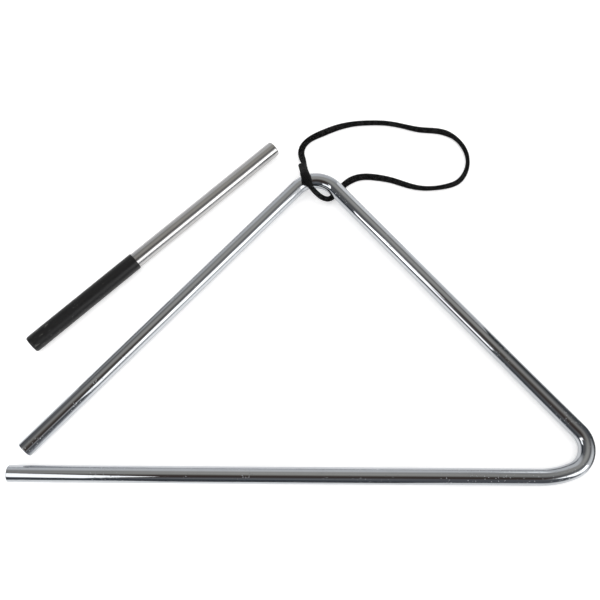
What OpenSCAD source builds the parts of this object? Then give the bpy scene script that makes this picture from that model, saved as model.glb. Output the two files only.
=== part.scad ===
// Percussion triangle with its hanging cord, and the beater that lies beside it, as they rest on a table.
// The bar is one round rod, bent twice and left open at one corner. The base runs along X.

/* [Bar] */
// Diameter of the round bar
bar_d = 8; // [7:0.5:9]
// Base, from its open end to the crossing of the axes at the corner
base_len = 288; // [280:2:320]
// Right leg, from the crossing at the corner to the crossing at the apex
right_len = 214; // [205:1:225]
// Angle between base and right leg
corner_angle = 47.5; // [45:0.5:50]
// How far the base's cut end stops short of the line of the left leg's axis
base_short = 3.7; // [1:0.1:12]
// Space left between the open end of the left leg and the base
end_gap = 4; // [2:0.5:12]
// Broken edge at each cut end of the bar
bar_edge_break = 0.4; // [0.2:0.1:0.8]

/* [Bends] */
// Radius of the bend at the apex, to the bar's axis
apex_bend_r = 13.5; // [12:0.5:18]
// Radius of the tight part of the corner, to the bar's axis
corner_bend_r = 11.5; // [10:0.5:16]
// Radius of the corner's wide run-out onto the base, to the bar's axis
corner_sweep_r = 42; // [30:1:60]
// Share of the corner's turn that the wide run-out takes
corner_sweep_share = 0.17; // [0.1:0.01:0.3]
// How much the bar's radius draws in where it bends
bend_draw = 0.02; // [0.01:0.01:0.05]

/* [Beater] */
// Diameter of the beater's rod
rod_d = 8.3; // [7.5:0.1:9]
// Length of the rod
rod_len = 160; // [140:1:180]
// Broken edge at each end of the rod
rod_edge_break = 0.5; // [0.2:0.1:0.8]
// Length of the plastic sleeve that is the grip
sleeve_len = 65.5; // [50:0.5:90]
// Wall of the sleeve
sleeve_wall = 0.25; // [0.2:0.05:0.6]
// Length of sleeve that stands past the rod's end
sleeve_overhang = 0.8; // [0.4:0.1:2]
// Air between the shrunk sleeve and the rod
sleeve_fit = 0.02; // [0.01:0.01:0.05]

/* [Layout] */
// Distance of the beater's grip end from the axis of the left leg
beater_side = 36.5; // [30:0.5:60]
// Distance of the grip end from the leg's open end, measured along the leg
beater_along = 35.5; // [20:0.5:50]
// Turn of the beater away from the direction of the left leg
beater_turn = 3.7; // [0:0.1:8]

/* [Cord] */
// Diameter of the braided cord
cord_d = 2.4; // [2:0.1:2.6]
// Air between the cord and the bar that rests on it
cord_gap = 0.3; // [0.2:0.1:0.6]
// Length of the thread binding round the two cord ends
bind_len = 6.5; // [4:0.5:8]
// Thickness of the wound thread
bind_wall = 0.25; // [0.2:0.05:0.4]
// Air between the binding and the cord ends inside it
bind_gap = 0.1; // [0.08:0.01:0.14]
// Distance of the binding from the first cord end
bind_setback = 1.5; // [1:0.1:2]

/* [Hidden] */
$fn = 96;
cord_sides = 8;

// How far a bend runs on inside the stretches that it joins
bend_overrun = 0.2;

bar_r = bar_d / 2;
rod_r = rod_d / 2;
sleeve_bore_r = rod_r + sleeve_fit;
sleeve_r = sleeve_bore_r + sleeve_wall;

// Plan of the bar: the corner crossing is at the origin, and a heading of 0 is +X
corner_turn = 180 - corner_angle;
right_heading = corner_turn;
apex_at = right_len * [cos(right_heading), sin(right_heading)];
left_leg_way = [-base_len - base_short, 0] - apex_at;
left_heading = 360 + atan2(left_leg_way.y, left_leg_way.x);
apex_turn = left_heading - right_heading;

// The left leg ends where the lower edge of its cut face is end_gap above the base
leg_rise = -sin(left_heading);
end_face_drop = bar_r * abs(cos(left_heading));
left_end_y = bar_r + end_gap + end_face_drop;
left_len = (apex_at.y - left_end_y) / leg_rise;
left_end_at = apex_at + left_len * [cos(left_heading), sin(left_heading)];

// Displacement along an arc of radius r between two headings
function arc_step(r, h0, h1) = r * [sin(h1) - sin(h0), cos(h0) - cos(h1)];

// Where the corner's two arcs start and end
sweep_turn = corner_turn * corner_sweep_share;
sweep_step = arc_step(corner_sweep_r, 0, sweep_turn);
corner_step = sweep_step + arc_step(corner_bend_r, sweep_turn, corner_turn);
corner_run_out = corner_step.y / sin(right_heading);
base_tangent = corner_step.x - corner_run_out * cos(right_heading);
sweep_at = [-base_tangent, 0];
bend_at = sweep_at + sweep_step;
base_straight = base_len - base_tangent;

// Straight stretches of the legs
apex_tangent = apex_bend_r * tan(apex_turn / 2);
right_straight = right_len - corner_run_out - apex_tangent;
left_straight = left_len - apex_tangent;

// The cord lies under the bar just short of the apex and holds it up there
cord_cross_share = 0.93;
bar_lift = cord_d + cord_gap;
bar_tilt = asin(bar_lift / (apex_at.y * cord_cross_share));

// The beater rests on the inner end of its sleeve and on the tip of its rod
rest_span = rod_len - rod_edge_break + sleeve_overhang - sleeve_len;
beater_dip = asin((sleeve_r - rod_r) / rest_span);
beater_axis_z = sleeve_r * cos(beater_dip) + sleeve_len * sin(beater_dip);
leg_up = [-cos(left_heading), -sin(left_heading)];
leg_left = [-leg_up.y, leg_up.x];
grip_at = left_end_at + beater_along * leg_up + beater_side * leg_left;
beater_heading = left_heading - 180 - beater_turn;
beater_len = sleeve_overhang + rod_len;
tip_at = grip_at + beater_len * cos(beater_dip) * [cos(beater_heading), sin(beater_heading)];

// The model's origin is under the middle of the bar and beater together
bend_centre_x = bend_at.x - corner_bend_r * sin(sweep_turn);
x_low = min(-base_len, grip_at.x - sleeve_r * sin(beater_heading));
x_high = bend_centre_x + corner_bend_r + bar_r - 2 * bend_draw;
apex_centre = apex_at - apex_tangent * [cos(right_heading), sin(right_heading)]
    + apex_bend_r * [-sin(right_heading), cos(right_heading)];
apex_top = (apex_centre.y + apex_bend_r) * cos(bar_tilt) + bar_r - bend_draw;
y_high = max(apex_top, tip_at.y + (rod_r - rod_edge_break) * cos(beater_heading));
origin_shift = [-(x_low + x_high) / 2, -(y_high - bar_r) / 2, 0];

// Route of the cord's centre, in mm from the apex crossing and from the table, chosen by hand.
// It starts at one cut end, crosses over the bar, turns back under it and closes the loop beside its start.
cord_route = [
    [-8.2, 4.7, 3.6], [-7.1, -2.4, 9.6], [-6.4, -5.2, 11.7], [-5.4, -8.0, 12.3], [-4.0, -10.3, 11.5],
    [-2.2, -12.2, 9.5], [0.4, -14.1, 7.4], [3.4, -15.4, 5.2], [6.7, -15.1, 3.1], [9.6, -12.3, 1.4],
    [13.4, -7.5, 1.2], [19.0, -2.8, 1.2], [25.5, -0.8, 1.2], [33.0, -1.2, 1.2], [40.5, -2.7, 1.2],
    [48.0, -5.3, 1.2], [55.5, -7.2, 1.2], [63.0, -7.3, 1.2], [70.0, -6.0, 1.2], [76.0, -3.4, 1.2],
    [80.2, 2.0, 1.2], [82.0, 9.0, 1.2], [80.8, 16.0, 1.2], [76.8, 22.3, 1.2], [71.0, 26.3, 1.2],
    [64.0, 27.7, 1.2], [56.5, 28.3, 1.2], [48.5, 30.1, 1.2], [39.5, 31.9, 1.2], [30.0, 32.2, 1.2],
    [20.5, 31.4, 1.2], [11.5, 29.0, 1.2], [3.0, 25.2, 1.2], [-4.2, 20.8, 1.2], [-7.8, 14.5, 1.2],
    [-7.0, 8.4, 2.0], [-6.2, 5.0, 3.6], [-5.0, -2.6, 10.1], [-4.3, -5.3, 12.0], [-3.2, -7.9, 12.6]
];
cord_count = len(cord_route);
// The cut ends are drawn in by the binding over these many points at each end
drawn_in_count = 4;
drawn_in_share = 0.78;
drawn_in_d = cord_d * drawn_in_share;

// Both strands run straight and level with each other through the binding
first_end = cord_route[0];
strand_dir = unit(cord_route[1] - first_end);
last_start = cord_route[cord_count - drawn_in_count];
strand_side = [-strand_dir.y, strand_dir.x, 0] / norm([strand_dir.x, strand_dir.y]);
strand_spacing = abs((last_start - first_end) * strand_side);
pair_mid = first_end + strand_side * ((last_start - first_end) * strand_side) / 2;

function unit(v) = v / norm(v);

// Moves a shape from the plan, with the corner crossing at the origin, to its place in the model
module placed() {
    translate(origin_shift) children();
}

// Tilts the bar's plane about the axis of the base, so that the apex lies over the cord
module on_cord() {
    translate([0, 0, bar_r]) rotate([bar_tilt, 0, 0]) children();
}

// Puts a shape that runs along +X at a point of the plan, turned to a heading
module heading(at, angle) {
    translate([at.x, at.y, 0]) rotate([0, 0, angle]) children();
}

// Straight round bar along +X
module straight(len) {
    rotate([0, 90, 0]) cylinder(r = bar_r, h = len);
}

// Straight round bar along +X whose far end is cut square with a broken edge
module cut_straight(len) {
    rotate([0, 90, 0]) {
        cylinder(r = bar_r, h = len - bar_edge_break);
        translate([0, 0, len - bar_edge_break])
            cylinder(r1 = bar_r, r2 = bar_r - bar_edge_break, h = bar_edge_break);
    }
}

// Bend of the bar that starts along +X and turns left. Its drawn-in ends run on inside the neighbours.
module bend(r, angle, draw = bend_draw) {
    overrun = asin(bend_overrun / r);
    translate([0, r, 0]) rotate([0, 0, -90 - overrun])
        rotate_extrude(angle = angle + 2 * overrun) translate([r, 0]) circle(r = bar_r - draw);
}

// The instrument itself: one chromed steel bar with two bends and two cut ends
module triangle_bar() {
    color("silver") placed() on_cord() {
        heading(sweep_at, 180) cut_straight(base_straight);
        heading(sweep_at, 0) bend(corner_sweep_r, sweep_turn);
        heading(bend_at, sweep_turn) bend(corner_bend_r, corner_turn - sweep_turn, 2 * bend_draw);
        heading(corner_run_out * apex_at / right_len, right_heading) straight(right_straight);
        heading(apex_at * (right_len - apex_tangent) / right_len, right_heading)
            bend(apex_bend_r, apex_turn);
        heading(apex_at + apex_tangent * (left_end_at - apex_at) / left_len, left_heading)
            cut_straight(left_straight);
    }
}

// Ring of points round one point of the cord, square to the directions that meet there
function ring(i) =
    let (before = cord_route[max(i - 1, 0)], after = cord_route[min(i + 1, cord_count - 1)],
         dir = unit(after - before),
         side = unit(cross(dir, [0, 0, 1])),
         up = cross(side, dir),
         bound = i < drawn_in_count || i >= cord_count - drawn_in_count,
         r = (bound ? drawn_in_d : cord_d) / 2)
    [for (k = [0:cord_sides - 1])
        let (a = (k + 1 / 2) * 360 / cord_sides) cord_route[i] + r * (cos(a) * side + sin(a) * up)];

// Braided cord: one tube along the route, with both ends cut off flat
module hanging_cord() {
    points = [for (i = [0:cord_count - 1]) each ring(i)];
    walls = [for (i = [0:cord_count - 2], k = [0:cord_sides - 1], half = [0, 1])
        let (a = i * cord_sides + k, b = i * cord_sides + (k + 1) % cord_sides,
             c = b + cord_sides, d = a + cord_sides)
        half == 0 ? [a, b, c] : [a, c, d]];
    first_cap = [for (k = [cord_sides - 1:-1:0]) k];
    last_cap = [for (k = [0:cord_sides - 1]) (cord_count - 1) * cord_sides + k];
    color("#1a1a1a") placed() translate([apex_at.x, apex_at.y, 0])
        polyhedron(points = points, faces = concat(walls, [first_cap, last_cap]));
}

// Outline of two round strands side by side
module strand_pair(d) {
    for (side = [-1, 1]) translate([0, side * strand_spacing / 2]) circle(d = d);
    square([d, strand_spacing], center = true);
}

// Thread wound round both cord ends, which closes the cord into a loop
module cord_binding() {
    bore_d = drawn_in_d + 2 * bind_gap;
    start = pair_mid + bind_setback * strand_dir;
    color("#101010") placed() translate([apex_at.x, apex_at.y, 0]) translate(start)
        rotate([0, acos(strand_dir.z), atan2(strand_dir.y, strand_dir.x)])
        linear_extrude(bind_len) difference() {
            strand_pair(bore_d + 2 * bind_wall);
            strand_pair(bore_d);
        }
}

// Puts a shape that runs along +Z from the grip end on the table, along the beater's heading
module beater_placed() {
    placed() translate([grip_at.x, grip_at.y, beater_axis_z])
        rotate([0, 90 + beater_dip, beater_heading]) children();
}

// Steel rod of the beater, cut square with a broken edge at both ends
module beater_rod() {
    color("lightgrey") beater_placed() translate([0, 0, sleeve_overhang]) rotate_extrude()
        polygon([[0, 0], [rod_r - rod_edge_break, 0], [rod_r, rod_edge_break],
                 [rod_r, rod_len - rod_edge_break], [rod_r - rod_edge_break, rod_len], [0, rod_len]]);
}

// Plastic sleeve shrunk over the rod: a plain tube that stands a little past the rod's end
module beater_sleeve() {
    color("#202020") beater_placed() difference() {
        cylinder(r = sleeve_r, h = sleeve_len);
        translate([0, 0, -sleeve_len / 2]) cylinder(r = sleeve_bore_r, h = 2 * sleeve_len);
    }
}

triangle_bar();
hanging_cord();
cord_binding();
beater_rod();
beater_sleeve();
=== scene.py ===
import math

import bpy
import numpy as np
from mathutils import Matrix, Vector


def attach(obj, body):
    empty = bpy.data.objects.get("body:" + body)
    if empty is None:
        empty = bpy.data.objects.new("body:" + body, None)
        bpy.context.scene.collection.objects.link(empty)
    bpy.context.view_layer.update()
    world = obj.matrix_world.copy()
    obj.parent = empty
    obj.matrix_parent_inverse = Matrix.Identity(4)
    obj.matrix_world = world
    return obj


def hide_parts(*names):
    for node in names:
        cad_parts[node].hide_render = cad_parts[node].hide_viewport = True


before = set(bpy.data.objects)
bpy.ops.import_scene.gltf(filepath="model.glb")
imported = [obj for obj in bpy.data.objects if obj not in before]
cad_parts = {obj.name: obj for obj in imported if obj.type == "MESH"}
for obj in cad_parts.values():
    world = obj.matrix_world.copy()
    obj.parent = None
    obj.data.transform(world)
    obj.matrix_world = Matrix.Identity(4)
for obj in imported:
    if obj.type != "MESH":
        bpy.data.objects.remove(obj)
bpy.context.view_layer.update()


# Camera
# The photograph was taken from above and a little in front, with a short telephoto view of the whole set.
# Its place and turns come from the outlines of the bar and the beater.
MM = 0.001  # sizes are in millimetres throughout, and this turns them into Blender's metres
camera_place = Vector((-3.277, -116.730, 361.797)) * MM
camera_elevation, camera_azimuth, camera_roll = 71.7984, -0.52148, 0.93137
camera = bpy.data.objects.new("camera", bpy.data.cameras.new("camera"))
camera.data.lens = 44.992
camera.data.sensor_width = 36
camera.data.clip_start = 0.01
bpy.context.scene.collection.objects.link(camera)
camera.matrix_world = (
    Matrix.Translation(camera_place)
    @ Matrix.Rotation(math.radians(camera_azimuth), 4, "Z")
    @ Matrix.Rotation(math.radians(90 - camera_elevation), 4, "X")
    @ Matrix.Rotation(math.radians(camera_roll), 4, "Z")
)
bpy.context.scene.camera = camera
bpy.context.scene.view_settings.view_transform = "Standard"


# Hanging cord and its binding
# A braided black polyester cord, laid round the bar at the apex as a closed loop. Sixteen strands cross over
# and under each other. Black waxed thread is wound round its two cut ends, side by side, and draws them in.
cord_d = 2.4
cord_strands_each_way = 8
cord_yarns_per_strand = 4
cord_lay = 9.0
cord_relief = 0.2
cord_melt = 0.6
cord_cells_round = 48
# The braid is hollow and soft, so where it lies slack it is pressed to an oval as wide as this at each point of
# the route, and its thickness gives way until the oval has the area of the round cord. The binding draws in both ends.
cord_widths = [1.87, 1.87, 1.87, 1.87, 2.4, 2.8, 3, 3.1, 3.2, 3.1, 3.4, 4.1, 3.95, 3.95, 3.6, 3.5, 2.95, 2.55, 2.95,
               3, 2.65, 2.2, 2.55, 2.6, 3.8, 3.65, 3.6, 3.1, 3.05, 3.2, 3.3, 3.9, 4.1, 3.5, 3.55, 3.6, 2.5, 1.87,
               1.87, 1.87]
cord_least_thickness = 1.6
# Where its middle is lower than this, the cord lies on the table
cord_lies_below = 1.5
# Where the zero of the route lies, the crossing of the legs' axes in plan, as in the part's source
cord_origin = np.array((5.8276, 72.5165, 0.0))
cord_route = [
    (-8.2, 4.7, 3.6), (-7.1, -2.4, 9.6), (-6.4, -5.2, 11.7), (-5.4, -8.0, 12.3), (-4.0, -10.3, 11.5),
    (-2.2, -12.2, 9.5), (0.4, -14.1, 7.4), (3.4, -15.4, 5.2), (6.7, -15.1, 3.1), (9.6, -12.3, 1.4),
    (13.4, -7.5, 1.2), (19.0, -2.8, 1.2), (25.5, -0.8, 1.2), (33.0, -1.2, 1.2), (40.5, -2.7, 1.2),
    (48.0, -5.3, 1.2), (55.5, -7.2, 1.2), (63.0, -7.3, 1.2), (70.0, -6.0, 1.2), (76.0, -3.4, 1.2),
    (80.2, 2.0, 1.2), (82.0, 9.0, 1.2), (80.8, 16.0, 1.2), (76.8, 22.3, 1.2), (71.0, 26.3, 1.2),
    (64.0, 27.7, 1.2), (56.5, 28.3, 1.2), (48.5, 30.1, 1.2), (39.5, 31.9, 1.2), (30.0, 32.2, 1.2),
    (20.5, 31.4, 1.2), (11.5, 29.0, 1.2), (3.0, 25.2, 1.2), (-4.2, 20.8, 1.2), (-7.8, 14.5, 1.2),
    (-7.0, 8.4, 2.0), (-6.2, 5.0, 3.6), (-5.0, -2.6, 10.1), (-4.3, -5.3, 12.0), (-3.2, -7.9, 12.6),
]


def paint(hex_code):
    """A colour for a shader socket, from its sRGB hex code."""
    channels = [int(hex_code[i:i + 2], 16) / 255 for i in (1, 3, 5)]
    return [c / 12.92 if c <= 0.04045 else ((c + 0.055) / 1.055) ** 2.4 for c in channels] + [1]


def add_node(tree, kind, inputs=(), **settings):
    """Adds a node. inputs gives sockets by name or number a value, a node to follow or one of its outputs."""
    made = tree.nodes.new(kind)
    for name, value in settings.items():
        setattr(made, name, value)
    for key, value in dict(inputs).items():
        if isinstance(value, bpy.types.Node):
            value = next(out for out in value.outputs if out.enabled)
        if isinstance(value, bpy.types.NodeSocket):
            tree.links.new(value, made.inputs[key])
        else:
            made.inputs[key].default_value = value
    return made


def new_material(name):
    """An empty material with a principled shader wired to its output. Gives the material, tree and shader."""
    material = bpy.data.materials.new(name)
    material.use_nodes = True
    tree = material.node_tree
    tree.nodes.clear()
    shader = add_node(tree, "ShaderNodeBsdfPrincipled")
    add_node(tree, "ShaderNodeOutputMaterial", {"Surface": shader.outputs["BSDF"]})
    return material, tree, shader


def smooth_line(points, step):
    """Points a step apart along a natural cubic curve through the given points."""
    points = np.array(points)
    knots = np.concatenate([[0], np.cumsum(np.linalg.norm(np.diff(points, axis=0), axis=1) ** 0.5)])
    gaps = np.diff(knots)
    count = len(points)
    system, sides = np.eye(count), np.zeros((count, 3))
    for i in range(1, count - 1):
        system[i, i - 1:i + 2] = gaps[i - 1], 2 * (gaps[i - 1] + gaps[i]), gaps[i]
        sides[i] = 6 * ((points[i + 1] - points[i]) / gaps[i] - (points[i] - points[i - 1]) / gaps[i - 1])
    bends = np.linalg.solve(system, sides)

    def at(t):
        i = np.clip(np.searchsorted(knots, t, side="right") - 1, 0, count - 2)
        g, b = gaps[i][:, None], (t - knots[i])[:, None]
        a = g - b
        return ((bends[i] * a ** 3 + bends[i + 1] * b ** 3) / (6 * g)
                + (points[i] / g - bends[i] * g / 6) * a + (points[i + 1] / g - bends[i + 1] * g / 6) * b)

    fine = at(np.linspace(0, knots[-1], 20000))
    fine[:, 2] = np.maximum(fine[:, 2], points[:, 2].min())
    run = np.concatenate([[0], np.cumsum(np.linalg.norm(np.diff(fine, axis=0), axis=1))])
    stops = np.linspace(0, run[-1], int(run[-1] / step) + 1)
    return np.stack([np.interp(stops, run, fine[:, k]) for k in range(3)], axis=1), stops


def frames_along(line):
    """Level side and up at each point of a line that nowhere stands upright."""
    ahead = np.gradient(line, axis=0)
    ahead /= np.linalg.norm(ahead, axis=1, keepdims=True)
    side = np.cross(ahead, (0, 0, 1))
    side /= np.linalg.norm(side, axis=1, keepdims=True)
    return side, np.cross(side, ahead)


def skin(name, rings, material, uv=None, closed=False):
    """A smooth tube over rings of points in mm, closed by a pole at each end or joined end to end."""
    count, around = rings.shape[:2]
    corners = rings.reshape(-1, 3)
    faces = []
    spans = count if closed else count - 1
    for i in range(spans):
        a, b = i * around, (i + 1) % count * around
        faces += [(a + j, a + (j + 1) % around, b + (j + 1) % around, b + j) for j in range(around)]
    if not closed:
        last = (count - 1) * around
        corners = np.concatenate([corners, rings[0].mean(axis=0)[None], rings[-1].mean(axis=0)[None]])
        faces += [(len(corners) - 2, (j + 1) % around, j) for j in range(around)]
        faces += [(len(corners) - 1, last + j, last + (j + 1) % around) for j in range(around)]
    mesh = bpy.data.meshes.new(name)
    mesh.from_pydata((corners * MM).tolist(), [], faces)
    mesh.shade_smooth()
    if uv is not None:
        # uv(i, j) takes whole numbers of rings and sides, so that the last face of a ring runs on past the seam
        ring, spoke = np.divmod(np.arange(spans * around), around)
        quads = np.stack([uv(ring, spoke), uv(ring, spoke + 1), uv(ring + 1, spoke + 1), uv(ring + 1, spoke)], axis=1)
        flat = np.concatenate([quads.reshape(-1, 2), np.zeros((len(mesh.loops) - quads.shape[0] * 4, 2))])
        mesh.uv_layers.new(name="lay").data.foreach_set("uv", flat.ravel())
    mesh.materials.append(material)
    made = bpy.data.objects.new(name, mesh)
    bpy.context.scene.collection.objects.link(made)
    return made


# Black polyester braid, spun and dyed in the mass: each strand is a flat bundle of fine yarns, some strands shinier
# than others. Each strand's crest gets painted shine through the specular level. The gaps between the strands get
# none, which paints shade there, so they stay dull and darker.
# The yarns are drawn 0.2 mm apart, coarser than the real ones, so that they show.
braid, tree, shader = new_material("black polyester braid")
shader.inputs["Roughness"].default_value = 0.48
shader.inputs["Sheen Weight"].default_value = 0.03
shader.inputs["Sheen Roughness"].default_value = 0.4
lay_map = add_node(tree, "ShaderNodeUVMap", uv_map="lay")
split = add_node(tree, "ShaderNodeSeparateXYZ", {0: lay_map})
part_of = [add_node(tree, "ShaderNodeMath", {0: split.outputs[k]}, operation="FRACT") for k in (0, 1)]
number_of = [add_node(tree, "ShaderNodeMath", {0: split.outputs[k]}, operation="FLOOR") for k in (0, 1)]
crossing = add_node(tree, "ShaderNodeMath", {0: number_of[0], 1: number_of[1]}, operation="ADD")
half = add_node(tree, "ShaderNodeMath", {0: crossing, 1: 0.5}, operation="MULTIPLY")
odd = add_node(tree, "ShaderNodeMath", {0: half}, operation="FRACT")
on_top = add_node(tree, "ShaderNodeMath", {0: odd, 1: 0.25}, operation="GREATER_THAN")
across = add_node(tree, "ShaderNodeMix", {"Factor": on_top, "A": part_of[0], "B": part_of[1]})
half_turns = [add_node(tree, "ShaderNodeMath", {0: part, 1: math.pi}, operation="MULTIPLY") for part in part_of]
arcs = [add_node(tree, "ShaderNodeMath", {0: half_turn}, operation="SINE") for half_turn in half_turns]
crest = add_node(tree, "ShaderNodeMath", {0: arcs[0], 1: arcs[1]}, operation="MULTIPLY")
yarn_turn = add_node(tree, "ShaderNodeMath", {0: across, 1: 2 * math.pi * cord_yarns_per_strand},
                     operation="MULTIPLY")
yarn = add_node(tree, "ShaderNodeMath", {0: yarn_turn}, operation="SINE")
strand_id = add_node(tree, "ShaderNodeCombineXYZ", {0: number_of[0], 1: number_of[1]})
strand_tone = add_node(tree, "ShaderNodeTexWhiteNoise", {"Vector": strand_id}, noise_dimensions="2D")
most_lustre = add_node(tree, "ShaderNodeMath", {0: strand_tone.outputs["Value"], 1: 0.85, 2: 0.15},
                       operation="MULTIPLY_ADD")
# Painted shine and shade: the specular level is highest on each strand's crest and falls to nothing in the gaps
# between the strands
crest_shine_gap_shade = add_node(tree, "ShaderNodeMapRange", {"Value": crest, "From Min": 0.1, "From Max": 0.8, "To Min": 0.0,
                                               "To Max": most_lustre}, interpolation_type="SMOOTHSTEP")
tree.links.new(crest_shine_gap_shade.outputs["Result"], shader.inputs["Specular IOR Level"])
here = add_node(tree, "ShaderNodeTexCoord")
fuzz = add_node(tree, "ShaderNodeTexNoise", {"Vector": here.outputs["Object"], "Scale": 1 / (0.5 * MM), "Detail": 3})
# Painted shade between the yarns: the black is lighter along each yarn and darker between it and the next, and it also
# differs at random from strand to strand
yarn_painted_shade = add_node(tree, "ShaderNodeMath", {0: yarn, 1: 0.25, 2: 0.35}, operation="MULTIPLY_ADD")
tone = add_node(tree, "ShaderNodeMath", {0: strand_tone.outputs["Value"], 1: 0.3, 2: yarn_painted_shade},
                operation="MULTIPLY_ADD", use_clamp=True)
dye_and_yarn_shade = add_node(tree, "ShaderNodeMix", {"Factor": tone, "A": paint("#020202"), "B": paint("#0B0B0B")},
               data_type="RGBA")
tree.links.new(dye_and_yarn_shade.outputs["Result"], shader.inputs["Base Color"])
yarn_height = add_node(tree, "ShaderNodeMath", {0: yarn, 1: 0.5, 2: fuzz.outputs["Fac"]}, operation="MULTIPLY_ADD")
relief = add_node(tree, "ShaderNodeBump", {"Strength": 0.6, "Distance": 0.03 * MM, "Height": yarn_height})
tree.links.new(relief.outputs["Normal"], shader.inputs["Normal"])

cord_line, cord_run = smooth_line(np.array(cord_route) + cord_origin, cord_lay / cord_cells_round)
side, up = frames_along(cord_line)
spoke, ring = np.meshgrid(np.arange(cord_cells_round), np.arange(len(cord_line)))


def strand_places(ring, spoke):
    """Counts of the strands crossed, by each of the two ways round, at a ring and a spoke of the cord."""
    return np.stack([(spoke + ring), (spoke - ring)], axis=-1) * cord_strands_each_way / cord_cells_round


places = strand_places(ring, spoke)
phase = places - np.floor(places)
first_on_top = np.floor(places).sum(axis=2) % 2 == 0
over = np.where(first_on_top, phase[..., 0], phase[..., 1])
lengthwise = np.where(first_on_top, phase[..., 1], phase[..., 0])
pillow = np.sin(math.pi * over) ** 0.6 * np.sin(math.pi * lengthwise) ** 0.4
angle = spoke * 2 * math.pi / cord_cells_round
nearest_ring = [np.argmin(np.linalg.norm(cord_line - (np.array(p) + cord_origin), axis=1)) for p in cord_route]


def evened(values, rings_each_way=15):
    """Values along the cord, each evened out over the rings on both sides of it."""
    weights = np.hanning(2 * rings_each_way + 1)
    return np.convolve(np.pad(values, rings_each_way, mode="edge"), weights / weights.sum(), mode="valid")


cord_width = evened(np.interp(cord_run, cord_run[nearest_ring], cord_widths))
cord_thickness = np.minimum(cord_width, np.maximum(cord_d ** 2 / cord_width, cord_least_thickness))
# A thin stretch lies with its underside on the table, where the route keeps the round cord's middle
lies = cord_line[:, 2] < cord_lies_below
settled = cord_line - np.array((0, 0, 1)) * ((cord_d - cord_thickness) / 2 * lies)[:, None]
settled[:, 2] = evened(settled[:, 2])
sunk = cord_relief * (1 - pillow)
# A hot knife closed both ends, which rounds them off
reach = np.minimum(cord_run, cord_run[-1] - cord_run)
melted = np.sqrt(np.clip(1 - (1 - np.clip(reach / cord_melt, 0, 1)) ** 2, 0.05, 1))[:, None]
rings = (settled[:, None]
         + (melted * (cord_width[:, None] / 2 - sunk) * np.cos(angle))[..., None] * side[:, None]
         + (melted * (cord_thickness[:, None] / 2 - sunk) * np.sin(angle))[..., None] * up[:, None])
cord = skin("hanging_cord_braid", rings, braid, uv=strand_places)

# Binding thread: waxed linen or polyester, wound close under tension over the whole stretch where the two ends lie
# side by side, along the middle between them, and on over the one cord past the other's end, where it narrows
thread_d = 0.3
thread_steps = 40
thread_sides = 8
binding_width = 4.2
binding_height = 2.1
binding_span = (1.0, 21.0)
binding_swells = (9.0, 14.0)
binding_swell_share = 1.12
binding_narrows = (17.6, 20.6)
binding_end_share = 0.72
binding_step = 0.2
binding_route = [(-7.35, 4.85, 3.6), (-6.35, -2.5, 9.85), (-5.95, -5.25, 11.85), (-5.2, -7.95, 12.5),
                 (-4.15, -10.1, 11.85), (-2.3, -12.1, 9.9), (-1.2, -12.9, 8.8)]

waxed, tree, shader = new_material("black waxed thread")
shader.inputs["Base Color"].default_value = paint("#050505")
shader.inputs["Roughness"].default_value = 0.5
shader.inputs["Specular IOR Level"].default_value = 0.35
here = add_node(tree, "ShaderNodeTexCoord")
twist = add_node(tree, "ShaderNodeTexNoise", {"Vector": here.outputs["Object"], "Scale": 1 / (0.3 * MM), "Detail": 2})
relief = add_node(tree, "ShaderNodeBump", {"Strength": 0.5, "Distance": 0.03 * MM, "Height": twist.outputs["Fac"]})
tree.links.new(relief.outputs["Normal"], shader.inputs["Normal"])


def new_tree(name, inputs):
    """A geometry tree with named inputs. Gives the tree, its input node and the sockets' identifiers."""
    tree = bpy.data.node_groups.new(name, "GeometryNodeTree")
    face = tree.interface
    face.new_socket("Geometry", in_out="OUTPUT", socket_type="NodeSocketGeometry")
    face.new_socket("Geometry", in_out="INPUT", socket_type="NodeSocketGeometry")
    sockets = {label: face.new_socket(label, in_out="INPUT", socket_type="NodeSocket" + kind).identifier
               for label, kind in inputs.items()}
    return tree, add_node(tree, "NodeGroupInput"), sockets


def grow(name, tree, sockets, values, base):
    """Runs a geometry tree on a base mesh and keeps the result as a plain mesh object."""
    made = bpy.data.objects.new(name, base)
    bpy.context.scene.collection.objects.link(made)
    modifier = made.modifiers.new(tree.name, "NODES")
    modifier.node_group = tree
    for label, value in values.items():
        modifier[sockets[label]] = value
    bpy.context.view_layer.update()
    result = bpy.data.meshes.new_from_object(made.evaluated_get(bpy.context.evaluated_depsgraph_get()))
    made.modifiers.clear()
    made.data = result
    result.name = name
    return made


# The wound thread tree runs one thread round a flat oval that follows a path, each turn one thread further on. The
# oval swells where both ends of the cord lie inside, and narrows where it goes on over one.
winding, given, winding_inputs = new_tree("wound thread", {
    "Width": "Float", "Height": "Float", "Swells from": "Float", "Swells to": "Float", "Swell share": "Float",
    "Narrows from": "Float", "Narrows to": "Float", "End share": "Float", "Thread": "Float", "Start": "Float",
    "Turns": "Int", "Steps": "Int", "Sides": "Int", "Material": "Material"})
core = add_node(winding, "GeometryNodeMeshToCurve", {"Mesh": given.outputs["Geometry"]})
level_core = add_node(winding, "GeometryNodeSetCurveNormal", {"Curve": core}, mode="Z_UP")
outline = add_node(winding, "GeometryNodeCurvePrimitiveQuadrilateral",
                   {"Width": given.outputs["Width"], "Height": given.outputs["Height"]})
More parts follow.
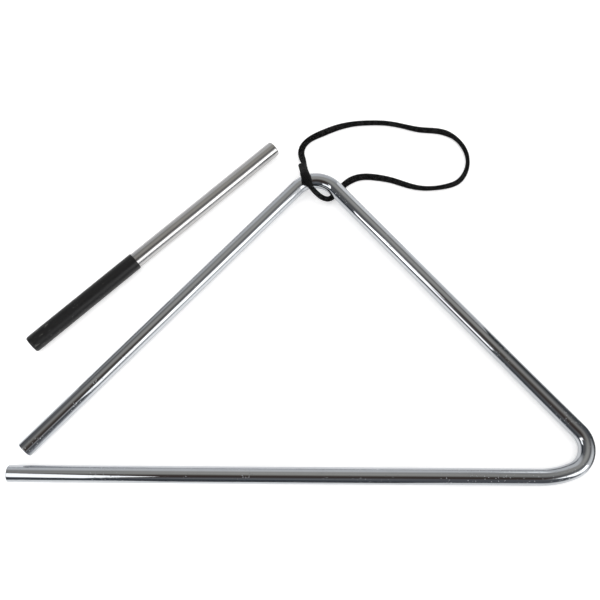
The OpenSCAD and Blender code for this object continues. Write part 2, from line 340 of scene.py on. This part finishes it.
# Just short of half the height, so that the two roundings of a side don't quite meet
corner_r = add_node(winding, "ShaderNodeMath", {0: given.outputs["Height"], 1: 0.4999}, operation="MULTIPLY")
rounded = add_node(winding, "GeometryNodeFilletCurve", {"Curve": outline, "Radius": corner_r, "Count": 16},
                   mode="POLY")
steps = add_node(winding, "ShaderNodeMath", {0: given.outputs["Turns"], 1: given.outputs["Steps"]},
                 operation="MULTIPLY")
thread_points = add_node(winding, "GeometryNodeMeshLine", {"Count": steps})
thread_line = add_node(winding, "GeometryNodeMeshToCurve", {"Mesh": thread_points})
index = add_node(winding, "GeometryNodeInputIndex")
turn = add_node(winding, "ShaderNodeMath", {0: index, 1: given.outputs["Steps"]}, operation="DIVIDE")
share = add_node(winding, "ShaderNodeMath", {0: turn}, operation="FRACT")
on_outline = add_node(winding, "GeometryNodeSampleCurve", {"Curves": rounded, "Factor": share}, mode="FACTOR",
                      use_all_curves=True)
run_on = add_node(winding, "ShaderNodeMath", {0: turn, 1: given.outputs["Thread"], 2: given.outputs["Start"]},
                  operation="MULTIPLY_ADD")
on_core = add_node(winding, "GeometryNodeSampleCurve", {"Curves": level_core, "Length": run_on}, mode="LENGTH",
                   use_all_curves=True)
offset = add_node(winding, "ShaderNodeSeparateXYZ", {0: on_outline.outputs["Position"]})
core_up = add_node(winding, "ShaderNodeVectorMath", {0: on_core.outputs["Tangent"], 1: on_core.outputs["Normal"]},
                   operation="CROSS_PRODUCT")
swollen = add_node(winding, "ShaderNodeMapRange",
                   {"Value": run_on, "From Min": given.outputs["Swells from"], "From Max": given.outputs["Swells to"],
                    "To Min": 1.0, "To Max": given.outputs["Swell share"]}, interpolation_type="SMOOTHSTEP")
narrowed = add_node(winding, "ShaderNodeMapRange",
                    {"Value": run_on, "From Min": given.outputs["Narrows from"],
                     "From Max": given.outputs["Narrows to"], "To Min": swollen.outputs["Result"],
                     "To Max": given.outputs["End share"]}, interpolation_type="SMOOTHSTEP")
side_offset = add_node(winding, "ShaderNodeMath", {0: offset.outputs["X"], 1: narrowed.outputs["Result"]},
                       operation="MULTIPLY")
out_side = add_node(winding, "ShaderNodeVectorMath", {0: on_core.outputs["Normal"], "Scale": side_offset},
                    operation="SCALE")
out_up = add_node(winding, "ShaderNodeVectorMath", {0: core_up, "Scale": offset.outputs["Y"]}, operation="SCALE")
out_both = add_node(winding, "ShaderNodeVectorMath", {0: out_side, 1: out_up}, operation="ADD")
place = add_node(winding, "ShaderNodeVectorMath", {0: on_core.outputs["Position"], 1: out_both}, operation="ADD")
wound = add_node(winding, "GeometryNodeSetPosition", {"Geometry": thread_line, "Position": place})
# A little over half, so that each turn is pressed into the next
thread_r = add_node(winding, "ShaderNodeMath", {0: given.outputs["Thread"], 1: 0.52}, operation="MULTIPLY")
thread_round = add_node(winding, "GeometryNodeCurvePrimitiveCircle",
                        {"Radius": thread_r, "Resolution": given.outputs["Sides"]}, mode="RADIUS")
thread_tube = add_node(winding, "GeometryNodeCurveToMesh",
                       {"Curve": wound, "Profile Curve": thread_round.outputs["Curve"], "Fill Caps": True})
whole = add_node(winding, "GeometryNodeRealizeInstances", {"Geometry": thread_tube})
dressed = add_node(winding, "GeometryNodeSetMaterial", {"Geometry": whole, "Material": given.outputs["Material"]})
add_node(winding, "NodeGroupOutput", {"Geometry": dressed})


def path_mesh(name, line):
    """A chain of edges through points in mm."""
    mesh = bpy.data.meshes.new(name)
    mesh.from_pydata((line * MM).tolist(), [(i, i + 1) for i in range(len(line) - 1)], [])
    return mesh


binding_line, _ = smooth_line(np.array(binding_route) + cord_origin, binding_step)
binding = grow("binding_thread", winding, winding_inputs, {
    "Width": binding_width * MM, "Height": binding_height * MM, "Swells from": binding_swells[0] * MM,
    "Swells to": binding_swells[1] * MM, "Swell share": binding_swell_share, "Narrows from": binding_narrows[0] * MM,
    "Narrows to": binding_narrows[1] * MM, "End share": binding_end_share, "Thread": thread_d * MM,
    "Start": binding_span[0] * MM, "Turns": int((binding_span[1] - binding_span[0]) / thread_d),
    "Steps": thread_steps, "Sides": thread_sides, "Material": waxed}, path_mesh("binding_thread", binding_line))
binding.data.shade_smooth()

for piece, node_name, slot in ((cord, "hanging_cord", "cord_braid"), (binding, "cord_binding", "binding_thread")):
    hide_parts(node_name)
    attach(piece, "triangle")


# Triangle bar
# One round steel bar, bent cold round formers at the apex and the closed corner, then polished and chromed.
# The corner has a tight bend that runs out in a wide sweep onto the base. Both ends are sawn and deburred.
bar_d = 8.0
bar_edge_break = 0.4
base_len = 288.0
base_short = 3.7
right_len = 214.0
corner_angle = 47.5
end_gap = 4.0
apex_bend_r = 13.5
corner_bend_r = 11.5
corner_sweep_r = 42.0
corner_sweep_share = 0.17
bar_rise = 2.7
bar_rise_share = 0.93
bar_origin = np.array((150.40391, -85.26087, 0.0))
bar_sides = 128
bend_step = 1.5
straight_step = 5.0
# Where the rings of a broken edge stand, in shares of the break
edge_rings = np.array((0, 0.1, 0.35, 0.7, 1, 1.3))
# The rims of the sawn ends are folded by more degrees than this, and stay sharp
crease_angle = 40


def way(heading):
    """Unit vector in the bar's own plane."""
    return np.array((math.cos(heading), math.sin(heading)))


def run_straight(points, heading, length, edge_break=0.0):
    """Goes on along a straight stretch. Points stand close at its ends, so that the bends' shading stops there."""
    near = 0.4
    stops = np.concatenate([[near], np.linspace(near, length - near, int(length / straight_step))[1:-1],
                            [length - near]])
    if edge_break:
        stops = np.concatenate([stops[:-1], length - edge_break * edge_rings[:0:-1]])
    start = points[-1]
    points += [start + way(heading) * s for s in stops] + [start + way(heading) * length]


def run_bend(points, heading, radius, turn):
    """Goes on round a left-hand bend and gives the new heading."""
    centre = points[-1] + radius * way(heading + math.pi / 2)
    for turned in np.linspace(0, turn, int(math.degrees(turn) / bend_step) + 1)[1:]:
        points.append(centre + radius * way(heading + turned - math.pi / 2))
    return heading + turn


corner_turn = math.radians(180 - corner_angle)
sweep_turn = corner_turn * corner_sweep_share
sweep_step = corner_sweep_r * np.array((math.sin(sweep_turn), 1 - math.cos(sweep_turn)))
tight_step = corner_bend_r * np.array((math.sin(corner_turn) - math.sin(sweep_turn),
                                       math.cos(sweep_turn) - math.cos(corner_turn)))
corner_run = (sweep_step + tight_step)[1] / math.sin(corner_turn)
base_tangent = (sweep_step + tight_step)[0] - corner_run * math.cos(corner_turn)
apex = right_len * way(corner_turn)
leg_way = np.array((-base_len - base_short, 0.0)) - apex
left_heading = 2 * math.pi + math.atan2(leg_way[1], leg_way[0])
apex_turn = left_heading - corner_turn
apex_tangent = apex_bend_r * math.tan(apex_turn / 2)
bar_r = bar_d / 2
left_low = bar_r + end_gap + bar_r * abs(math.cos(left_heading))
left_len = (apex[1] - left_low) / -math.sin(left_heading)
bar_tilt = math.asin(bar_rise / (apex[1] * bar_rise_share))

bar_points = [np.array((-base_len, 0.0)) + way(0) * s for s in bar_edge_break * edge_rings]
run_straight(bar_points, 0, base_len - base_tangent - bar_edge_break * edge_rings[-1])
heading = run_bend(bar_points, 0, corner_sweep_r, sweep_turn)
heading = run_bend(bar_points, heading, corner_bend_r, corner_turn - sweep_turn)
run_straight(bar_points, heading, right_len - corner_run - apex_tangent)
heading = run_bend(bar_points, heading, apex_bend_r, apex_turn)
run_straight(bar_points, heading, left_len - apex_tangent, bar_edge_break)
plan = np.array(bar_points)
bar_line = np.stack([plan[:, 0], plan[:, 1] * math.cos(bar_tilt), bar_r + plan[:, 1] * math.sin(bar_tilt)],
                    axis=1) + bar_origin

# The round bar tree sweeps a circle along a path, draws the width in over the last bit to break the edges, and
# keeps on each point where it would lie on the straight bar before bending: along, and out from the axis
round_bar, given, round_bar_inputs = new_tree("round bar", {
    "Diameter": "Float", "Edge break": "Float", "Sides": "Int", "Material": "Material"})
path = add_node(round_bar, "GeometryNodeMeshToCurve", {"Mesh": given.outputs["Geometry"]})
stretch = add_node(round_bar, "GeometryNodeSplineParameter")
full = add_node(round_bar, "GeometryNodeSplineLength")
left_over = add_node(round_bar, "ShaderNodeMath", {0: full.outputs["Length"], 1: stretch.outputs["Length"]},
                     operation="SUBTRACT")
nearest = add_node(round_bar, "ShaderNodeMath", {0: stretch.outputs["Length"], 1: left_over}, operation="MINIMUM")
depth = add_node(round_bar, "ShaderNodeMath", {0: nearest, 1: given.outputs["Edge break"]}, operation="DIVIDE",
                 use_clamp=True)
missing = add_node(round_bar, "ShaderNodeMath", {0: 1.0, 1: depth}, operation="SUBTRACT")
squared = add_node(round_bar, "ShaderNodeMath", {0: missing, 1: 2.0}, operation="POWER")
cut_back = add_node(round_bar, "ShaderNodeMath", {0: squared, 1: given.outputs["Edge break"]}, operation="MULTIPLY")
radius_of = add_node(round_bar, "ShaderNodeMath", {0: given.outputs["Diameter"], 1: 0.5}, operation="MULTIPLY")
lost = add_node(round_bar, "ShaderNodeMath", {0: cut_back, 1: radius_of}, operation="DIVIDE")
width = add_node(round_bar, "ShaderNodeMath", {0: 1.0, 1: lost}, operation="SUBTRACT")
noted = add_node(round_bar, "GeometryNodeStoreNamedAttribute",
                 {"Geometry": path, "Name": "along", "Value": stretch.outputs["Length"]}, data_type="FLOAT")
ring_shape = add_node(round_bar, "GeometryNodeCurvePrimitiveCircle",
                      {"Radius": radius_of, "Resolution": given.outputs["Sides"]}, mode="RADIUS")
spot = add_node(round_bar, "GeometryNodeInputPosition")
ring_noted = add_node(round_bar, "GeometryNodeStoreNamedAttribute",
                      {"Geometry": ring_shape.outputs["Curve"], "Name": "out", "Value": spot},
                      data_type="FLOAT_VECTOR")
swept = add_node(round_bar, "GeometryNodeCurveToMesh",
                 {"Curve": noted, "Profile Curve": ring_noted, "Scale": width, "Fill Caps": True})
along = add_node(round_bar, "GeometryNodeInputNamedAttribute", {"Name": "along"}, data_type="FLOAT")
out = add_node(round_bar, "GeometryNodeInputNamedAttribute", {"Name": "out"}, data_type="FLOAT_VECTOR")
out_parts = add_node(round_bar, "ShaderNodeSeparateXYZ", {0: out})
unbent = add_node(round_bar, "ShaderNodeCombineXYZ",
                  {"X": along, "Y": out_parts.outputs["X"], "Z": out_parts.outputs["Y"]})
kept = add_node(round_bar, "GeometryNodeStoreNamedAttribute",
                {"Geometry": swept, "Name": "unbent", "Value": unbent}, data_type="FLOAT_VECTOR")
fold = add_node(round_bar, "GeometryNodeInputMeshEdgeAngle")
gentle = add_node(round_bar, "ShaderNodeMath", {0: fold.outputs["Unsigned Angle"],
                                                1: math.radians(crease_angle)}, operation="LESS_THAN")
soft = add_node(round_bar, "GeometryNodeSetShadeSmooth", {"Geometry": kept, "Shade Smooth": True}, domain="FACE")
creased = add_node(round_bar, "GeometryNodeSetShadeSmooth", {"Geometry": soft, "Shade Smooth": gentle},
                   domain="EDGE")
whole = add_node(round_bar, "GeometryNodeRealizeInstances", {"Geometry": creased})
dressed = add_node(round_bar, "GeometryNodeSetMaterial", {"Geometry": whole, "Material": given.outputs["Material"]})
add_node(round_bar, "NodeGroupOutput", {"Geometry": dressed})

# Decorative chrome over nickel on polished steel: a cool, near-perfect mirror. The steel's draw marks run
# lengthwise under the plating as a faint waviness. Handling leaves dull smears, and here and there the plate has
# pits, in patches, that sparkle because each one mirrors some other part of the room. Most of them are on the
# stretch before the closed corner, where the bar has been struck and laid down.
# The waviness is drawn at about 1.5 mm round the bar and 25 mm along it, and the pits 0.35 mm wide, both coarser
# than the real ones, so that they show.
chrome, tree, shader = new_material("mirror chrome plate")
shader.inputs["Metallic"].default_value = 1
straightened = add_node(tree, "ShaderNodeAttribute", attribute_name="unbent")
drawn_marks = add_node(tree, "ShaderNodeMapping",
                       {"Vector": straightened.outputs["Vector"],
                        "Scale": (1 / (25 * MM), 1 / (1.5 * MM), 1 / (1.5 * MM))})
marks = add_node(tree, "ShaderNodeTexNoise", {"Vector": drawn_marks, "Scale": 1.0, "Detail": 2})
smears = add_node(tree, "ShaderNodeTexNoise", {"Vector": straightened.outputs["Vector"], "Scale": 1 / (9 * MM),
                                               "Detail": 4, "Roughness": 0.6})
dulled = add_node(tree, "ShaderNodeMapRange", {"Value": smears.outputs["Fac"], "From Min": 0.45, "From Max": 0.75,
                                               "To Min": 0.03, "To Max": 0.10})
pit_cells = add_node(tree, "ShaderNodeTexVoronoi", {"Vector": straightened.outputs["Vector"], "Scale": 1 / (1.1 * MM),
                                                    "Randomness": 1.0})
pit_depth = add_node(tree, "ShaderNodeMapRange", {"Value": pit_cells.outputs["Distance"], "From Min": 0.02,
                                                  "From Max": 0.22, "To Min": 1.0, "To Max": 0.0},
                     interpolation_type="SMOOTHSTEP")
patches = add_node(tree, "ShaderNodeTexNoise", {"Vector": straightened.outputs["Vector"], "Scale": 1 / (30 * MM),
                                                "Detail": 2})
places_along = add_node(tree, "ShaderNodeSeparateXYZ", {0: straightened.outputs["Vector"]})
# Where along the straightened bar the worn stretch comes in, and where it goes out
worn_in, worn_out = (170, 215), (268, 300)
most_worn = 0.16
worn_from, worn_to = [
    add_node(tree, "ShaderNodeMapRange", {"Value": places_along.outputs["X"], "From Min": first * MM,
                                          "From Max": last * MM, "To Max": most_worn})
    for first, last in (worn_in, worn_out)]
worn = add_node(tree, "ShaderNodeMath", {0: worn_from.outputs["Result"], 1: worn_to.outputs["Result"]},
                operation="SUBTRACT")
worn_level = add_node(tree, "ShaderNodeMath", {0: patches.outputs["Fac"], 1: worn}, operation="ADD")
pitted = add_node(tree, "ShaderNodeMapRange", {"Value": worn_level, "From Min": 0.52, "From Max": 0.62})
pits = add_node(tree, "ShaderNodeMath", {0: pit_depth.outputs["Result"], 1: pitted.outputs["Result"]},
                operation="MULTIPLY")
plate = add_node(tree, "ShaderNodeMix", {"Factor": smears.outputs["Fac"], "A": paint("#C9CCD0"),
                                         "B": paint("#C1C4C8")}, data_type="RGBA")
tree.links.new(plate.outputs["Result"], shader.inputs["Base Color"])
tree.links.new(dulled.outputs["Result"], shader.inputs["Roughness"])
wavy = add_node(tree, "ShaderNodeBump", {"Strength": 1.0, "Distance": 0.01 * MM, "Height": marks.outputs["Fac"]})
pocked = add_node(tree, "ShaderNodeBump", {"Strength": 1.0, "Distance": 0.09 * MM, "Height": pits, "Normal": wavy},
                  invert=True)
tree.links.new(pocked.outputs["Normal"], shader.inputs["Normal"])

bar = grow("triangle_bar_chromed", round_bar, round_bar_inputs, {
    "Diameter": bar_d * MM, "Edge break": bar_edge_break * MM, "Sides": bar_sides, "Material": chrome},
    path_mesh("triangle_bar_chromed", bar_line))
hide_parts("triangle_bar")
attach(bar, "triangle")


# Beater rod
# A straight length of drawn steel rod with a thin bright nickel plating, cut square and deburred at both ends. It
# lies loose on the table beside the triangle, with its grip end in the sleeve.
rod_d = 8.3
rod_len = 160.0
rod_edge_break = 0.5
rod_sides = 96
rod_rings = 30
rod_rings_from_end = 4
grip_end = np.array((-133.77705, -23.67699, 4.60653))
beater_way = np.array((0.72775571, 0.68583053, -0.0028481))
sleeve_overhang = 0.8

# Bright nickel on drawn rod: warmer and a little duller than the chrome, and brushed by the fine lines that the
# die left along it. The lines are drawn about 0.5 mm apart, coarser than the real ones, so that they show.
nickel, tree, shader = new_material("bright nickel on drawn rod")
shader.inputs["Metallic"].default_value = 1
straightened = add_node(tree, "ShaderNodeAttribute", attribute_name="unbent")
die_lines = add_node(tree, "ShaderNodeMapping",
                     {"Vector": straightened.outputs["Vector"],
                      "Scale": (1 / (40 * MM), 1 / (0.5 * MM), 1 / (0.5 * MM))})
lines = add_node(tree, "ShaderNodeTexNoise", {"Vector": die_lines, "Scale": 1.0, "Detail": 3})
cloud = add_node(tree, "ShaderNodeTexNoise", {"Vector": straightened.outputs["Vector"], "Scale": 1 / (12 * MM),
                                              "Detail": 3})
dulled = add_node(tree, "ShaderNodeMapRange", {"Value": cloud.outputs["Fac"], "From Min": 0.4, "From Max": 0.7,
                                               "To Min": 0.1, "To Max": 0.2})
tinted = add_node(tree, "ShaderNodeMix", {"Factor": cloud.outputs["Fac"], "A": paint("#CAC9C8"),
                                          "B": paint("#BDBCBC")}, data_type="RGBA")
tree.links.new(tinted.outputs["Result"], shader.inputs["Base Color"])
tree.links.new(dulled.outputs["Result"], shader.inputs["Roughness"])
relief = add_node(tree, "ShaderNodeBump", {"Strength": 1.0, "Distance": 0.002 * MM, "Height": lines.outputs["Fac"]})
tree.links.new(relief.outputs["Normal"], shader.inputs["Normal"])

edge_stops = rod_edge_break * edge_rings
rod_stops = np.concatenate([edge_stops, np.linspace(rod_rings_from_end, rod_len - rod_rings_from_end, rod_rings),
                            rod_len - edge_stops[::-1]])
rod_line = grip_end + beater_way * (sleeve_overhang + rod_stops)[:, None]
rod = grow("beater_rod_plated", round_bar, round_bar_inputs, {
    "Diameter": rod_d * MM, "Edge break": rod_edge_break * MM, "Sides": rod_sides, "Material": nickel},
    path_mesh("beater_rod_plated", rod_line))
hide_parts("beater_rod")
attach(rod, "beater")


# Beater sleeve
# A length of thin black plastic tube, heated until it shrank tight onto the rod. It stands a little past the
# rod's end, and its inner end was cut by hand, so the edge wanders a little.
sleeve_len = 65.5
sleeve_wall = 0.25
sleeve_fit = 0.02
sleeve_roll = 0.55
sleeve_roll_len = 1.4
sleeve_past_lip = 0.2
sleeve_short_of_cut = 1.5
sleeve_sides = 96
bore_r = rod_d / 2 + sleeve_fit
sleeve_r = bore_r + sleeve_wall
lip_r = sleeve_wall / 2

# Heat-shrunk polyolefin: satin black with a faint lengthwise grain from extruding it, and short pale scuffs
# where the grip end has been knocked about.
plastic, tree, shader = new_material("black heat-shrunk plastic")
shader.inputs["Specular IOR Level"].default_value = 0.45
here = add_node(tree, "ShaderNodeTexCoord")
turned = add_node(tree, "ShaderNodeMapping",
                  {"Vector": here.outputs["Object"], "Location": (grip_end * MM).tolist(),
                   "Rotation": (0, 0, math.atan2(beater_way[1], beater_way[0]))}, vector_type="TEXTURE")
grain_place = add_node(tree, "ShaderNodeMapping",
                       {"Vector": turned, "Scale": (1 / (6 * MM), 1 / (0.5 * MM), 1 / (0.5 * MM))})
grain = add_node(tree, "ShaderNodeTexNoise", {"Vector": grain_place, "Scale": 1.0, "Detail": 3, "Roughness": 0.6})
pebble = add_node(tree, "ShaderNodeTexNoise", {"Vector": turned, "Scale": 1 / (0.7 * MM), "Detail": 3})
handled = add_node(tree, "ShaderNodeTexNoise", {"Vector": turned, "Scale": 1 / (14 * MM), "Detail": 3})
along_grip = add_node(tree, "ShaderNodeSeparateXYZ", {0: turned})
near_end = add_node(tree, "ShaderNodeMapRange", {"Value": along_grip.outputs["X"], "From Min": 4 * MM,
                                                 "From Max": 24 * MM, "To Min": 1.0, "To Max": 0.0})
scuff_place = add_node(tree, "ShaderNodeMapping",
                       {"Vector": turned, "Scale": (1 / (3.2 * MM), 1 / (1.0 * MM), 1 / (1.0 * MM))})
scuffs = add_node(tree, "ShaderNodeTexNoise", {"Vector": scuff_place, "Scale": 1.0, "Detail": 4, "Roughness": 0.55})
scuff_level = add_node(tree, "ShaderNodeMath", {0: near_end.outputs["Result"], 1: 0.1, 2: scuffs.outputs["Fac"]},
                       operation="MULTIPLY_ADD")
scuffed = add_node(tree, "ShaderNodeMapRange", {"Value": scuff_level, "From Min": 0.66, "From Max": 0.74})
ground = add_node(tree, "ShaderNodeMix", {"Factor": grain.outputs["Fac"], "A": paint("#0B0B0C"),
                                          "B": paint("#161617")}, data_type="RGBA")
rubbed = add_node(tree, "ShaderNodeMix", {"Factor": scuffed.outputs["Result"], "A": ground.outputs["Result"],
                                          "B": paint("#4C4C49")}, data_type="RGBA")
sheen_level = add_node(tree, "ShaderNodeMapRange", {"Value": handled.outputs["Fac"], "From Min": 0.35,
                                                    "From Max": 0.7, "To Min": 0.36, "To Max": 0.45})
tree.links.new(rubbed.outputs["Result"], shader.inputs["Base Color"])
tree.links.new(sheen_level.outputs["Result"], shader.inputs["Roughness"])
skin_height = add_node(tree, "ShaderNodeMath", {0: grain.outputs["Fac"], 1: 0.6, 2: pebble.outputs["Fac"]},
                       operation="MULTIPLY_ADD")
relief = add_node(tree, "ShaderNodeBump", {"Strength": 0.5, "Distance": 0.02 * MM, "Height": skin_height})
tree.links.new(relief.outputs["Normal"], shader.inputs["Normal"])

turn_of = np.arange(sleeve_sides) * 2 * math.pi / sleeve_sides
half_round = np.linspace(-math.pi / 2, math.pi / 2, 7)
wander = 0.22 * np.sin(turn_of + 0.6) + 0.12 * np.sin(2 * turn_of + 2.0) + 0.05 * np.sin(5 * turn_of)
wander -= wander.max()


def rolled_in(s):
    """How far the sleeve is drawn in near its outer end. Past the rod's end nothing held it out as it shrank."""
    return sleeve_roll * (1 - s / sleeve_roll_len) ** 2


# The sleeve's outline, from the rolled lip over the outside and back through the bore: how far along, how far from
# the axis, and how much of the cut edge's wander it takes
profile = ([(lip_r - lip_r * math.cos(a), bore_r + lip_r + lip_r * math.sin(a) - sleeve_roll, 0.0) for a in half_round]
           + [(s, sleeve_r - rolled_in(s), 0.0) for s in np.linspace(sleeve_past_lip, sleeve_roll_len, 8)]
           + [(s, sleeve_r, 0.0) for s in np.linspace(2, sleeve_len - sleeve_short_of_cut, 34)]
           + [(sleeve_len - lip_r + lip_r * math.cos(a), bore_r + lip_r + lip_r * math.sin(a), 1.0)
              for a in half_round[::-1]]
           + [(s, bore_r, 0.0) for s in np.linspace(sleeve_len - sleeve_short_of_cut, sleeve_roll_len, 20)]
           + [(s, bore_r - rolled_in(s), 0.0) for s in np.linspace(1.1, sleeve_past_lip, 5)])
beater_ahead = Vector(beater_way)
beater_side = Vector((-beater_way[1], beater_way[0], 0)).normalized()
beater_up = beater_ahead.cross(beater_side)
rings = np.array([[grip_end + beater_way * (s + w * wander[j])
                   + r * (math.cos(turn_of[j]) * np.array(beater_side) + math.sin(turn_of[j]) * np.array(beater_up))
                   for j in range(sleeve_sides)] for s, r, w in profile])
sleeve = skin("beater_sleeve_shrunk", rings, plastic, closed=True)
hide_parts("beater_sleeve")
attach(sleeve, "beater")


# Table
# A plain white table under the whole set, lit evenly, with a light gloss: seen low down in the mirror of the
# chrome, it mirrors the dim room in turn. It glows a little for the camera and for the chrome, so that it reads
# as white there and still takes the pieces' shadows, and far from them it glows more, up to the horizon.
table_half = 4000
glow_near, glow_near_ends = 0.42, 250
glow_far, glow_far_starts = 1.0, 900
glow_in_metal = 0.2
table_mesh = bpy.data.meshes.new("table")
table_mesh.from_pydata([(x * table_half * MM, y * table_half * MM, 0)
                        for x, y in ((-1, -1), (1, -1), (1, 1), (-1, 1))], [], [(0, 1, 2, 3)])
table = bpy.data.objects.new("table", table_mesh)
bpy.context.scene.collection.objects.link(table)
sheet, tree, shader = new_material("white satin laminate")
shader.inputs["Base Color"].default_value = paint("#F4F4F4")
shader.inputs["Roughness"].default_value = 0.15
shader.inputs["Emission Color"].default_value = paint("#FFFFFF")
seen = add_node(tree, "ShaderNodeLightPath")
mirror_glow = add_node(tree, "ShaderNodeMath", {0: seen.outputs["Is Glossy Ray"], 1: glow_in_metal},
                       operation="MULTIPLY")
spot = add_node(tree, "ShaderNodeTexCoord")
from_middle = add_node(tree, "ShaderNodeVectorMath", {0: spot.outputs["Object"]}, operation="LENGTH")
camera_glow = add_node(tree, "ShaderNodeMapRange",
                       {"Value": from_middle.outputs["Value"], "From Min": glow_near_ends * MM,
                        "From Max": glow_far_starts * MM, "To Min": glow_near, "To Max": glow_far},
                       interpolation_type="SMOOTHSTEP")
glow = add_node(tree, "ShaderNodeMath", {0: seen.outputs["Is Camera Ray"], 1: camera_glow, 2: mirror_glow},
                operation="MULTIPLY_ADD")
tree.links.new(glow.outputs[0], shader.inputs["Emission Strength"])
table_mesh.materials.append(sheet)

# Studio light
# The room is dim towards the front, where the camera stands, and pale grey behind the set. Two tall soft panels at
# the front corners, and a small one close by at the left, give the chrome its long highlights. A pale panel stands
# behind at the right, and a wide sheet overhead, which the metal doesn't mirror, lights the table evenly.
world = bpy.data.worlds.new("studio")
bpy.context.scene.world = world
world.use_nodes = True
tree = world.node_tree
tree.nodes.clear()
look = add_node(tree, "ShaderNodeTexCoord")
height = add_node(tree, "ShaderNodeSeparateXYZ", {0: look.outputs["Generated"]})
raised = add_node(tree, "ShaderNodeMapRange", {"Value": height.outputs["Z"], "From Min": 0.05, "From Max": 0.6},
                  interpolation_type="SMOOTHSTEP")
room = add_node(tree, "ShaderNodeMix", {"Factor": raised.outputs["Result"], "A": (0.033, 0.044, 0.055, 1),
                                        "B": (0.135, 0.135, 0.14, 1)}, data_type="RGBA")


def part_of_room(azimuth, from_zenith, edge, full):
    """How far a direction lies inside a soft round part of the room. Edge and full are cosines from its middle."""
    a, z = math.radians(azimuth), math.radians(from_zenith)
    middle = (math.sin(z) * math.cos(a), math.sin(z) * math.sin(a), math.cos(z))
    towards = add_node(tree, "ShaderNodeVectorMath", {0: look.outputs["Generated"], 1: middle},
                       operation="DOT_PRODUCT")
    return add_node(tree, "ShaderNodeMapRange", {"Value": towards.outputs["Value"], "From Min": edge,
                                                 "From Max": full}, interpolation_type="SMOOTHSTEP").outputs["Result"]


# The dim warm ceiling over the camera, then what is added to it: the wall behind the set, the ceiling over it, the
# wall at the right, and a low grey wall in front. The front corner beside the panel at the right stays dark, and so
# does the gap before the one behind. The tones are light, in linear values.
for where, tone, blend in (((-92, 25, 0.87, 0.95), (0.060, 0.047, 0.043), "MIX"),
                           ((97, 83, 0.60, 0.92), (0.575, 0.58, 0.585), "ADD"),
                           ((89, 18, 0.77, 1.20), (0.56, 0.54, 0.48), "ADD"),
                           ((-25, 68, 0.74, 1.00), (0.80, 0.80, 0.79), "ADD"),
                           ((-86, 50, 0.94, 0.99), (0.05, 0.058, 0.066), "ADD"),
                           ((-62, 70, 0.90, 0.96), (0.11, 0.115, 0.125), "MIX"),
                           ((44, 60, 0.975, 0.992), (0.05, 0.05, 0.052), "MIX")):
    room = add_node(tree, "ShaderNodeMix", {"Factor": part_of_room(*where), "A": room.outputs["Result"],
                                            "B": (*tone, 1)}, data_type="RGBA", blend_type=blend)
seen = add_node(tree, "ShaderNodeLightPath")
either = add_node(tree, "ShaderNodeMix", {"Factor": seen.outputs["Is Camera Ray"],
                                          "A": room.outputs["Result"], "B": (1, 1, 1, 1)}, data_type="RGBA")
sky = add_node(tree, "ShaderNodeBackground", {"Color": either.outputs["Result"], "Strength": 1.0})
add_node(tree, "ShaderNodeOutputWorld", {"Surface": sky})


def soft_panel(name, azimuth, from_zenith, distance, size, radiance, mirrored=True):
    """A soft oblong light that faces the middle of the table, placed by its direction and distance from there."""
    a, z = math.radians(azimuth), math.radians(from_zenith)
    at = Vector((math.sin(z) * math.cos(a), math.sin(z) * math.sin(a), math.cos(z))) * distance * MM
    lamp = bpy.data.lights.new(name, "AREA")
    lamp.shape = "RECTANGLE"
    lamp.size, lamp.size_y = size[0] * MM, size[1] * MM
    lamp.energy = radiance * math.pi * lamp.size * lamp.size_y
    held = bpy.data.objects.new(name, lamp)
    held.matrix_world = Matrix.Translation(at) @ (-at).to_track_quat("-Z", "Y").to_matrix().to_4x4()
    held.visible_camera = False
    held.visible_glossy = mirrored
    bpy.context.scene.collection.objects.link(held)


soft_panel("panel_right", -36, 59, 2520, (1100, 1350), 1.6)
soft_panel("panel_left", -149, 52.5, 2450, (340, 1480), 1.6)
soft_panel("panel_left_near", -139.5, 57.8, 300, (186, 119), 1.7)
soft_panel("panel_back_right", 50.5, 75, 840, (340, 720), 0.55)
soft_panel("sheet_overhead", 0, 0.01, 1800, (3600, 3600), 0.98, mirrored=False)


# Two black cards lie on the table, one in front of the base and one right of the closed corner. The chrome's edges
# mirror them as the dark lines that set a bright bar off from a white table.
card_top = 0.2
velvet, tree, shader = new_material("black flocked card")
shader.inputs["Base Color"].default_value = paint("#303033")
shader.inputs["Roughness"].default_value = 1.0
shader.inputs["Specular IOR Level"].default_value = 0.0


def black_card(name, corners):
    """A flat black card with these corners, which shows only where something mirrors it."""
    card = bpy.data.meshes.new(name)
    card.from_pydata([(x * MM, y * MM, card_top * MM) for x, y in corners], [], [(0, 1, 2, 3)])
    card.materials.append(velvet)
    laid = bpy.data.objects.new(name, card)
    bpy.context.scene.collection.objects.link(laid)
    laid.visible_camera = laid.visible_diffuse = laid.visible_shadow = laid.visible_transmission = False


black_card("card_front", ((-70, -107), (-250, -270), (230, -270), (45, -107)))
black_card("card_right", ((146, -94), (330, -130), (330, 40), (141, -12)))
